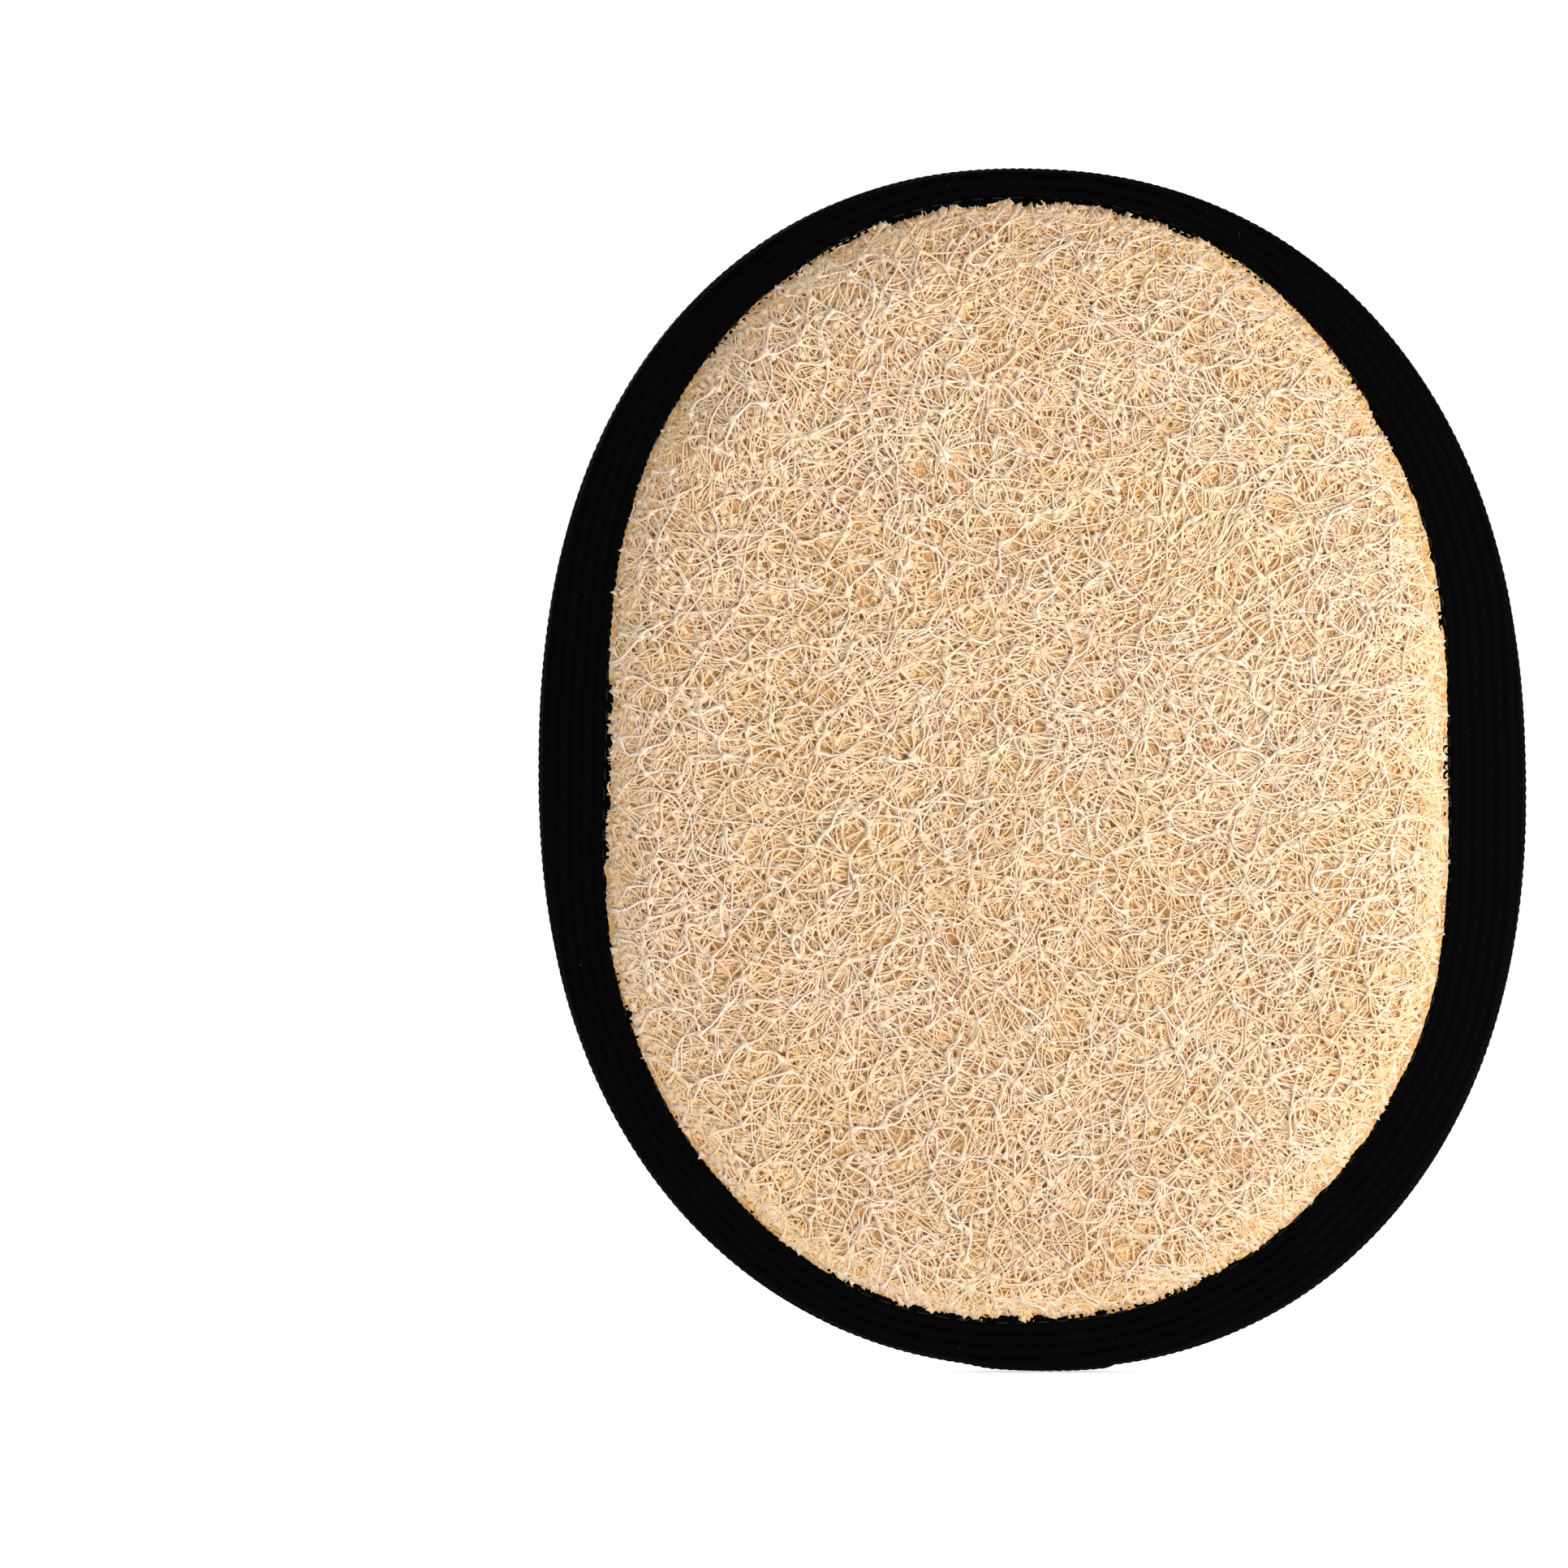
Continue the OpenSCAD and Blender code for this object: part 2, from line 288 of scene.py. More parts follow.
def evenly_round(radius, count, fine=14400):
    """Angles that are evenly spaced along a closed outline, and its length."""
    turn = np.linspace(0, TURN, fine + 1)
    away = radius(turn)
    x, z = away * np.cos(turn), away * np.sin(turn)
    run = np.concatenate([[0], np.cumsum(np.hypot(np.diff(x), np.diff(z)))])
    wanted = np.arange(count) / count * run[-1]
    return np.interp(wanted, run, turn), wanted, float(run[-1])


def outline(turn, radius):
    """Points on an outline, as x and z, and the unit normals that point away from the pad's middle."""
    nudge = 1e-4
    x, z = radius(turn) * np.cos(turn), radius(turn) * np.sin(turn)
    ahead = radius(turn + nudge) * np.array([np.cos(turn + nudge), np.sin(turn + nudge)])
    behind = radius(turn - nudge) * np.array([np.cos(turn - nudge), np.sin(turn - nudge)])
    along = unit((ahead - behind).T)
    return x, z + CENTRE_Z, along[:, 1], -along[:, 0]


def resampled(points, count):
    """A line of points at even spacing, and the distance along it at each."""
    run = np.concatenate([[0], np.cumsum(np.linalg.norm(np.diff(points, axis=0), axis=1))])
    wanted = np.linspace(0, run[-1], count)
    return np.stack([np.interp(wanted, run, points[:, k]) for k in range(points.shape[1])], -1), wanted


def settle(piece, slot, *nodes):
    """Gives a piece that doesn't bend its body, the root, and names the CAD nodes that it replaces, which it
    hides. The slot is not used.
    """
    if nodes:
        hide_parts(*nodes)
    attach(piece, "root")


# ---- materials ----


class Shader:
    """A node material under construction. Every method adds nodes and returns the socket to use next."""

    def __init__(self, name, roughness, specular):
        self.material = bpy.data.materials.new(name)
        self.material.use_nodes = True
        self.tree = self.material.node_tree
        self.surface = self.tree.nodes["Principled BSDF"]
        self.surface.inputs["Roughness"].default_value = roughness
        self.surface.inputs["Specular IOR Level"].default_value = specular

    def node(self, kind, values, output=0, **settings):
        """One output of a new node. Its values are constants, or sockets to link from."""
        node = self.tree.nodes.new("ShaderNode" + kind)
        for name, setting in settings.items():
            setattr(node, name, setting)
        for key, value in values.items():
            if isinstance(value, bpy.types.NodeSocket):
                self.tree.links.new(value, node.inputs[key])
            else:
                node.inputs[key].default_value = value
        return node.outputs[output]

    def maths(self, operation, *values):
        return self.node("Math", dict(enumerate(values)), operation=operation)

    def weighed(self, *parts):
        """The sum of values, each times its weight."""
        total = self.maths("MULTIPLY", *parts[0])
        for value, weight in parts[1:]:
            total = self.maths("ADD", total, self.maths("MULTIPLY", value, weight))
        return total

    def place(self):
        return self.node("TexCoord", {}, "Object")

    def noise(self, size_mm, detail=3.0, roughness=0.55):
        values = {"Scale": 1 / (size_mm * MM), "Detail": detail, "Roughness": roughness}
        return self.node("TexNoise", {**values, "Vector": self.place()}, "Fac")

    def cells(self, size_mm):
        """Distance to the nearest border between cells."""
        values = {"Scale": 1 / (size_mm * MM), "Vector": self.place()}
        return self.node("TexVoronoi", values, "Distance", feature="DISTANCE_TO_EDGE")

    def tone(self):
        """The mesh's paleness, held in its points; in the loofah's fibres it also holds painted shade for
        depth.
        """
        return self.node("Attribute", {}, "Fac", attribute_name="tone")

    def weave(self):
        """How far along and across its tape a point of the mesh lies."""
        vector = self.node("Attribute", {}, "Vector", attribute_name="weave")
        parts = self.node("SeparateXYZ", {0: vector}).node.outputs
        return parts[0], parts[1]

    def ramp(self, value, *stops):
        colour = self.node("ValToRGB", {0: value})
        line = colour.node.color_ramp
        while len(line.elements) < len(stops):
            line.elements.new(0.5)
        for element, (place, shade) in zip(line.elements, stops):
            element.position = place
            element.color = shade
        return colour

    def mixed(self, share, first, second):
        return self.node("Mix", {0: share, 6: first, 7: second}, 2, data_type="RGBA")

    def spread(self, value, low, high, to_low, to_high):
        return self.node("MapRange", {
            "Value": value, "From Min": low, "From Max": high, "To Min": to_low, "To Max": to_high})

    def bump(self, height, strength, distance_mm):
        normal = self.node("Bump", {"Height": height, "Strength": strength, "Distance": distance_mm * MM})
        self.tree.links.new(normal, self.surface.inputs["Normal"])

    def finish(self, colour, roughness):
        self.tree.links.new(colour, self.surface.inputs["Base Color"])
        self.tree.links.new(roughness, self.surface.inputs["Roughness"])
        return self.material


def wave(shader, value, pitch):
    """A ridge at every pitch: 0 in the grooves and 1 on the ridges."""
    return shader.maths("ABSOLUTE", shader.maths("SINE", shader.maths("MULTIPLY", value, math.pi / pitch)))


def make_fibre_material():
    """Loofah fibre: the mesh says how pale each fibre is, with painted shade that darkens it the deeper it
    lies.
    """
    shader = Shader("loofah_fibre", 0.65, 0.1)
    patch = shader.noise(26, 2)
    grain = shader.noise(0.7, 2)
    value = shader.maths("ADD", shader.tone(), shader.spread(patch, 0.3, 0.7, -0.07, 0.07))
    value = shader.maths("ADD", value, shader.spread(grain, 0.3, 0.7, -0.1, 0.1))
    # Both ramps are warmer and more saturated at their low ends, which mostly the deep fibres reach: a
    # painted warm shade.
    creamy = shader.ramp(
        value, (0.0, srgb(238, 186, 108)), (0.3, srgb(242, 200, 132)), (0.6, srgb(241, 211, 168)),
        (0.85, srgb(240, 217, 184)), (1.0, srgb(243, 224, 197)))
    rosy = shader.ramp(
        value, (0.0, srgb(232, 174, 112)), (0.3, srgb(240, 195, 136)), (0.6, srgb(240, 207, 172)),
        (0.85, srgb(240, 213, 187)), (1.0, srgb(243, 222, 201)))
    colour = shader.mixed(shader.spread(shader.noise(16, 4), 0.35, 0.65, 0.4, 0.8), creamy, rosy)
    shader.bump(shader.noise(0.35, 2), 0.35, 0.12)
    return shader.finish(colour, shader.spread(grain, 0.3, 0.7, 0.5, 0.72))


def make_loofah_body_material():
    """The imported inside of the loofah, seen between the fibres."""
    shader = Shader("loofah_body", 0.75, 0.1)
    strands = shader.cells(1.5)
    patches = shader.spread(shader.noise(1.6, 4), 0.3, 0.7, -0.25, 0.3)
    # Painted shade: the body is a darker tan than the fibres, for the shaded gaps between them, and darker
    # still in the hollows that the same value sinks in its bump.
    value = shader.maths("ADD", shader.spread(strands, 0.0, 0.18, 0.75, 0.1), patches)
    colour = shader.ramp(
        value, (0.0, srgb(206, 156, 92)), (0.45, srgb(226, 184, 128)), (1.0, srgb(240, 208, 160)))
    shader.bump(value, 0.6, 0.5)
    return shader.finish(colour, shader.spread(value, 0, 1, 0.85, 0.6))


def make_pile_material():
    """Terry pile: white cotton loops, each strand of one tone that varies at random; their darker roots are
    the terry ground's painted shade.
    """
    shader = Shader("terry_pile", 0.85, 0.1)
    shader.surface.inputs["Sheen Weight"].default_value = 0.25
    shader.surface.inputs["Sheen Roughness"].default_value = 0.5
    patch = shader.noise(7, 3)
    value = shader.maths("ADD", shader.tone(), shader.spread(patch, 0.3, 0.7, -0.08, 0.08))
    colour = shader.ramp(
        value, (0.0, srgb(218, 207, 206)), (0.5, srgb(236, 227, 228)), (1.0, srgb(246, 239, 240)))
    twist = shader.noise(0.4, 3)
    shader.bump(twist, 0.4, 0.15)
    return shader.finish(colour, shader.spread(twist, 0.3, 0.7, 0.75, 0.95))


def make_terry_ground_material():
    """The terry's woven ground and the lower part of its pile."""
    shader = Shader("terry_ground", 0.9, 0.1)
    clumps = shader.noise(1.5, 4, 0.65)
    # Painted shade: the ground is a little darker than the pile, for the shade at the pile's roots, and
    # darker still in the hollows that the same clumps sink in its bump.
    colour = shader.ramp(
        clumps, (0.3, srgb(206, 194, 193)), (0.5, srgb(232, 222, 223)), (0.75, srgb(247, 240, 241)))
    shader.bump(clumps, 0.9, 0.9)
    return shader.finish(colour, shader.spread(clumps, 0.3, 0.7, 0.95, 0.8))


def make_knit_material(name, wale, course, dark, light):
    """Black knitted tape: wales along the tape, courses across it, with a little lint."""
    shader = Shader(name, 0.9, 0.02)
    along, across = shader.weave()
    ribs = wave(shader, across, wale)
    lean = shader.maths("MULTIPLY", ribs, course * 0.55)
    stitches = wave(shader, shader.maths("ADD", along, lean), course)
    height = shader.weighed((ribs, 0.6), (stitches, 0.4), (shader.noise(0.25, 3), 0.4))
    # Painted shade: the rib and stitch tops are paler and the grooves darker, by the same height that the
    # bump raises; the broad patches vary at random.
    value = shader.weighed((height, 0.6), (shader.noise(14, 3), 0.3))
    black = shader.ramp(value, (0.2, dark), (1.0, light))
    lint = shader.spread(shader.noise(0.8, 1), 0.8, 0.84, 0.0, 0.7)
    colour = shader.mixed(lint, black, srgb(60, 58, 60))
    shader.bump(height, 0.3, 0.2)
    return shader.finish(colour, shader.spread(height, 0, 1.4, 0.97, 0.82))


def make_elastic_material():
    """Ribbed elastic: fine cross threads bind the rubber cords."""
    shader = Shader("elastic", 0.85, 0.02)
    along, across = shader.weave()
    cords = wave(shader, across, 2 * STRAP_HALF_W / STRAP_RIBS)
    threads = wave(shader, along, 0.46)
    height = shader.weighed((threads, 0.45), (shader.noise(0.3, 3), 0.5))
    # Painted shade: the cords' tops and the threads' raised parts are paler, and the grooves between them
    # darker.
    value = shader.weighed((cords, 0.65), (height, 0.3))
    colour = shader.ramp(value, (0.1, srgb(2, 1, 2)), (0.9, srgb(9, 8, 10)), (1.0, srgb(14, 12, 15)))
    shader.bump(height, 0.5, 0.14)
    return shader.finish(colour, shader.spread(value, 0, 1, 0.92, 0.66))


def make_thread_material():
    """Spun black sewing thread, a little uneven in tone and surface."""
    shader = Shader("thread", 0.7, 0.12)
    fuzz = shader.noise(0.22, 2)
    # The same noise makes its bumps and its tone: uneven spinning, with a painted highlight on the raised
    # fuzz.
    colour = shader.ramp(fuzz, (0.3, srgb(8, 7, 8)), (0.7, srgb(30, 28, 31)))
    shader.bump(fuzz, 0.5, 0.1)
    return shader.finish(colour, shader.spread(fuzz, 0.3, 0.7, 0.8, 0.55))


def make_floor_material():
    """White paper that glows a little, so that it joins the white backdrop."""
    shader = Shader("studio_floor", 0.8, 0.1)
    shader.surface.inputs["Emission Color"].default_value = (1, 1, 1, 1)
    shader.surface.inputs["Emission Strength"].default_value = 0.56
    shade = shader.noise(90, 2)
    colour = shader.ramp(shade, (0.3, srgb(250, 250, 250)), (0.7, srgb(254, 254, 254)))
    return shader.finish(colour, shader.spread(shade, 0.3, 0.7, 0.75, 0.85))


# ---- the loofah ----


def loofah_level(x, z):
    """Height of the loofah's outer fibres above the seam plane: a pillow that swells over the binding."""
    inset = np.maximum(front_inset(x, z) + OVERHANG, 0)
    rise = 1 - np.exp(-inset / 5)
    lumps = 0.33 * uneven(x, z, 34, np.random.default_rng(101))
    lumps = lumps + 0.18 * uneven(x, z, 13, np.random.default_rng(102))
    base = FRONT_FACE + 0.4 + lap_height(polar(x, z)[0])
    return base + (LOOFAH_CROWN - base + lumps) * rise


def border_room(x, z, reach):
    """How far each place lies inside the loofah's ragged border, which is moved out by reach."""
    turn, away = polar(x, z)
    ragged = 0.3 * np.sin(97 * turn + 2 * np.sin(13 * turn)) + 0.2 * np.sin(41 * turn + 3 * np.sin(7 * turn))
    return front_radius(turn) + reach + ragged - away


def trimmed(flat, reach):
    """Flat paths, each cut where it first crosses the border on either side of its middle. Paths that start
    outside are left out: the second result says which were kept."""
    count, steps = flat.shape[:2]
    room = border_room(flat[..., 0], flat[..., 1], reach)
    middle = steps // 2
    cuts = []
    for way in (-1, 1):
        run = room[:, middle::way]
        last = run.shape[1] - 1
        crossing = np.where((run < 0).any(1), np.argmax(run < 0, axis=1), last + 1)
        before = np.clip(crossing - 1, 0, last)
        after = np.clip(crossing, 0, last)
        rows = np.arange(count)
        inner, outer = run[rows, before], run[rows, after]
        part = np.where(crossing > last, 0, inner / np.maximum(inner - outer, 1e-6))
        cuts.append(middle + way * (before + np.clip(part, 0, 1)))
    kept = (room[:, middle] > 0) & (cuts[1] - cuts[0] > SHORTEST_CUT * (steps - 1))
    low, high = cuts[0][kept, None], cuts[1][kept, None]
    place = low + (high - low) * np.linspace(0, 1, steps)
    floor = np.clip(np.floor(place).astype(int), 0, steps - 2)
    part = (place - floor)[..., None]
    paths = flat[kept]
    rows = np.arange(len(paths))[:, None]
    return paths[rows, floor] * (1 - part) + paths[rows, floor + 1] * part, kept


def wandering(starts, headings, lengths, bends, sways, steps, rng):
    """Flat paths that bend and sway: (paths, steps, 2). Each is centred on its start."""
    count = len(starts)
    run = lengths[:, None] * np.linspace(0, 1, steps)
    waves = run / rng.uniform(7, 16, (count, 1)) + rng.uniform(0, 1, (count, 1))
    bend = bends[:, None] * (run - lengths[:, None] / 2)
    turn = headings[:, None] + bend + sways[:, None] * np.sin(TURN * waves)
    return walked(starts, turn, lengths)


def walked(starts, turn, lengths):
    """Flat paths of the given lengths that head each way in turn, step by step, centred on their starts."""
    step = (lengths / (turn.shape[1] - 1))[:, None]
    path = np.cumsum(np.stack([np.cos(turn) * step, np.sin(turn) * step], -1), axis=1)
    return starts[:, None] + path - path.mean(1, keepdims=True)


def inside_front(count, reach, rng):
    """Random places in the loofah's opening, as far as reach beyond its edge."""
    found = np.empty((0, 2))
    while len(found) < count:
        x = rng.uniform(-HALF_W, HALF_W, count)
        z = CENTRE_Z + rng.uniform(-HALF_H, HALF_H, count)
        keep = front_inset(x, z) > -reach
        found = np.concatenate([found, np.stack([x, z], -1)[keep]])
    return found[:count]


def lay_fibres(name, flat, depth, thickness, profile, pale, material, rng):
    """Fibres along flat paths, each sunk below the loofah's surface and painted darker the deeper it lies:
    painted shade from the fibres above.
    """
    x, z = flat[..., 0], flat[..., 1]
    inset = front_inset(x, z) + OVERHANG
    level = loofah_level(x, z) - depth * np.clip(inset / EASE, 0.1, 1)
    radii = rng.uniform(*thickness, (len(flat), 1)) / 2 * profile
    # The tone varies at random from fibre to fibre and drops with depth: the drop is painted shade.
    tone = pale + rng.normal(0, 0.09, (len(flat), 1)) - DEPTH_SHADE * depth
    return tube_piece(name, at_level(x, z, -level), radii, tone, material)


def make_arcs(name, count, steps, depths, lengths, thickness, pale, material, rng):
    """One layer of long fibres that weave up and down between the given depths."""
    starts = inside_front(count, 0.8, rng)
    long = rng.uniform(*lengths, count)
    lie = uneven(starts[:, 0], starts[:, 1], 45, np.random.default_rng(103)) * 1.1
    # Over half of the fibres follow the sheet's own lie, and the rest head anywhere.
    in_line = rng.random(count) < 0.55
    lie = lie + rng.normal(0, 0.4, count)
    headings = np.where(in_line, lie, rng.uniform(0, TURN, count))
    bends = rng.normal(0, 0.085, count)
    sways = rng.uniform(0.1, 0.5, count)
    flat = wandering(starts, headings, long, bends, sways, steps, rng)
    flat, _ = trimmed(flat, rng.uniform(-0.2, 0.9, (count, 1)))
    count = len(flat)
    t = np.linspace(0, 1, steps)
    weave = np.sin(TURN * (t * rng.uniform(0.6, 1.6, (count, 1)) + rng.uniform(0, 1, (count, 1))))
    middle, swing = (depths[0] + depths[1]) / 2, (depths[1] - depths[0]) / 2
    depth = middle + swing * (0.75 * weave + 0.45 * rng.uniform(-1, 1, (count, 1)))
    from_middle = np.abs(2 * t - 1)
    depth = np.maximum(depth + 0.9 * from_middle ** 6, -0.25)
    return lay_fibres(name, flat, depth, thickness, 1 - 0.45 * from_middle ** 3, pale, material, rng)


def make_net(name, spacing, depth, thickness, pale, material, rng):
    """Short fibres that meet in stars: each knot is joined to its nearest knots."""
    a = np.arange(-HALF_W, HALF_W, spacing)
    b = np.arange(-HALF_H, HALF_H, spacing)
    x, z = [g.ravel() for g in np.meshgrid(a, b)]
    x = x + rng.uniform(-0.62, 0.62, len(x)) * spacing
    z = z + rng.uniform(-0.62, 0.62, len(z)) * spacing + CENTRE_Z
    knots = np.stack([x, z], -1)[front_inset(x, z) > -2]
    apart = np.linalg.norm(knots[:, None] - knots[None], axis=-1)
    np.fill_diagonal(apart, np.inf)
    links = 5
    near = np.argsort(apart, axis=1)[:, :links]
    pairs = np.stack([np.repeat(np.arange(len(knots)), links), near.ravel()], -1)
    pairs = np.unique(np.sort(pairs, axis=1), axis=0)
    pairs = pairs[rng.random(len(pairs)) < 0.8]
    start, end = knots[pairs[:, 0]], knots[pairs[:, 1]]
    count, steps = len(pairs), 6
    t = np.linspace(-0.06, 1.06, steps)
    along = end - start
    across = np.stack([-along[:, 1], along[:, 0]], -1)
    bow = rng.normal(0, 0.14, (count, 1)) * np.sin(math.pi * np.clip(t, 0, 1))
    twist = rng.normal(0, 0.05, (count, 1)) * np.sin(TURN * t)
    flat = start[:, None] + along[:, None] * t[:, None] + across[:, None] * (bow + twist)[..., None]
    flat, kept = trimmed(flat, rng.uniform(0.0, 0.9, (count, 1)))
    pairs, count = pairs[kept], len(flat)
    knot_depth = rng.uniform(*depth, len(knots))
    ease = np.clip(t, 0, 1)
    sink = knot_depth[pairs[:, :1]] * (1 - ease) + knot_depth[pairs[:, 1:]] * ease
    sink = sink + rng.uniform(-0.25, 0.35, (count, 1)) * np.sin(math.pi * ease)
    flare = 1 + 1.7 * np.abs(2 * t - 1) ** 3.5
    return lay_fibres(name, flat, sink, thickness, flare, pale, material, rng)


def make_edge_curls(name, count, material, rng):
    """Short curled fibres all along the opening: they make the loofah's border dense and looped."""
    turn = rng.uniform(0, TURN, count)
    away = front_radius(turn) - rng.uniform(-0.6, 2.6, count)
    starts = np.stack([away * np.cos(turn), CENTRE_Z + away * np.sin(turn)], -1)
    t = np.linspace(0, 1, 9)
    long = rng.uniform(1.5, 5.0, count)
    headings = turn + rng.normal(0, 1.3, count)
    bends = rng.normal(0, 0.7, count)
    flat = walked(starts, headings[:, None] + bends[:, None] * long[:, None] * t, long)
    flat, _ = trimmed(flat, rng.uniform(0.4, 1.3, (count, 1)))
    count = len(flat)
    x, z = flat[..., 0], flat[..., 1]
    lift = rng.uniform(-0.3, 0.5, (count, 1)) * np.sin(math.pi * t)
    level = np.maximum(loofah_level(x, z) - 0.4 + lift, FRONT_FACE + 0.35)
    radii = rng.uniform(0.2, 0.4, (count, 1)) / 2 * (1 - 0.4 * np.abs(2 * t - 1) ** 2)
    tone = rng.uniform(0.15, 0.8, (count, 1)) + 0 * t
    return tube_piece(name, at_level(x, z, -level), radii, tone, material)


def make_pad_half(name, radius, level, edge_level, sign, material, rings=64, around=280):
    """A closed body under one face of the pad, flat against the seam plane."""
    turn, _, _ = evenly_round(radius, around)
    away = radius(turn)
    # It runs on under the binding, as far as the fold leaves room.
    held = away + np.minimum(4.2, rim_radius(turn) - away - 2.2)
    grid = [at_level(held * np.cos(turn), CENTRE_Z + held * np.sin(turn), sign * lift)
            for lift in (0.0, edge_level)]
    for part in 1 - (1 - np.linspace(1, 0, rings)[:-1]) ** 1.6:
        x, z = away * part * np.cos(turn), CENTRE_Z + away * part * np.sin(turn)
        grid.append(at_level(x, z, sign * level(x, z)))
    grid = np.stack(grid)
    last = (len(grid) - 1) * around
    top = at_level(0.0, CENTRE_Z, sign * level(np.array(0.0), np.array(CENTRE_Z)))
    bottom = at_level(0.0, CENTRE_Z, 0.0)
    points = np.concatenate([grid.reshape(-1, 3), top[None], bottom[None]])
    i = np.arange(around)
    j = (i + 1) % around
    tip = np.stack([last + i, last + j, np.full(around, last + around)], -1)
    base = np.stack([j, i, np.full(around, last + around + 1)], -1)
    faces = [grid_faces(len(grid), around), tip, base]
    if sign < 0:
        faces = [f[:, ::-1] for f in faces]
    return new_mesh(name, points, faces, material)


def make_loofah(materials):
    def bed_level(x, z):
        rough = uneven(x, z, 4, np.random.default_rng(104), 14)
        sunk = np.clip((front_inset(x, z) + OVERHANG) / EASE, 0.5, 1)
        return loofah_level(x, z) - (1.2 - 0.2 * rough) * sunk

    body = make_pad_half(
        "loofah_body", front_radius, bed_level, LOOFAH_EDGE - 0.2, -1, materials["loofah_body"])
    fibre = materials["fibre"]
    # Name, count, points along each, depths, lengths, thicknesses, paleness, which is lower in the deeper
    # layers as painted shade
    arcs = (
        ("deep", 2500, 13, (0.9, 1.5), (12, 24), (0.42, 0.75), 0.74),
        ("middle", 2300, 13, (0.5, 1.1), (10, 22), (0.34, 0.6), 0.76),
        ("upper", 1300, 15, (0.15, 0.8), (11, 25), (0.26, 0.46), 0.78),
        ("fine", 1200, 13, (0.0, 0.8), (8, 18), (0.16, 0.28), 0.78),
        ("top", 900, 17, (-0.1, 0.4), (12, 28), (0.2, 0.37), 0.8))
    # Name, spacing of the knots, depths, thicknesses, paleness, which is lower in the deeper layers as
    # painted shade
    nets = (
        ("lower", 2.9, (0.55, 1.1), (0.32, 0.55), 0.76),
        ("middle", 3.2, (0.3, 0.8), (0.24, 0.44), 0.78),
        ("upper", 3.3, (0.15, 0.5), (0.2, 0.38), 0.8),
        ("top", 3.7, (-0.15, 0.3), (0.22, 0.44), 0.82))
    layers = [make_arcs("loofah_fibres_" + word, *sizes, fibre, np.random.default_rng(seed))
              for seed, (word, *sizes) in enumerate(arcs, 1)]
    layers += [make_net("loofah_net_" + word, *sizes, fibre, np.random.default_rng(seed))
               for seed, (word, *sizes) in enumerate(nets, 11)]
    layers.append(make_edge_curls("loofah_edge_curls", 2600, fibre, np.random.default_rng(7)))
    settle(body, "loofah", "loofah_sheet")
    for piece in layers:
        settle(piece, "loofah")
    return body


# ---- the terry cloth ----


def strap_under(x):
    """Level of the strap's lower side over the pile, at rest."""
    reach = HINGE_X - STRAP_MIDDLE
    return HINGE_S - STRAP_T / 2 + STRAP_SLOPE * np.clip(HINGE_X - np.abs(x), 0, reach)


def pile_cap(x, z):
    """The most that the pile may rise where the strap and the loop lie over it."""
    cap = np.full(np.broadcast(x, z).shape, 99.0)
    under_strap = np.abs(z) < STRAP_HALF_W + 0.6
    cap = np.where(under_strap, strap_under(x) - 0.5, cap)
    lean = (float(LOOP_HIGH[1]) - SEAM_Y - PIVOT_S) / (PIVOT_Z - float(LOOP_LOW[2]))
    under_loop = (np.abs(x - LOOP_X) < LOOP_HALF_W + 0.5) & (z > LOOP_LOW[2])
    loop_level = PIVOT_S - 1.3 + 0.55 * lean * np.maximum(PIVOT_Z - z, 0)
    return np.where(under_loop, np.minimum(cap, loop_level), cap)


def terry_level(x, z):
    """Height of the pile's tips above the seam plane: it bulges up at once from the binding's edge."""
    inset = back_inset(x, z)
    rise = 1 - np.exp(-np.maximum(inset, 0) / 6)
    lumps = 0.4 * uneven(x, z, 22, np.random.default_rng(201)) * rise
    level = BACK_FACE + 0.3 + (TERRY_CROWN - BACK_FACE - 0.3) * rise + lumps
    return np.where(inset > 0, np.minimum(level, pile_cap(x, z)), TERRY_EDGE - 0.1)


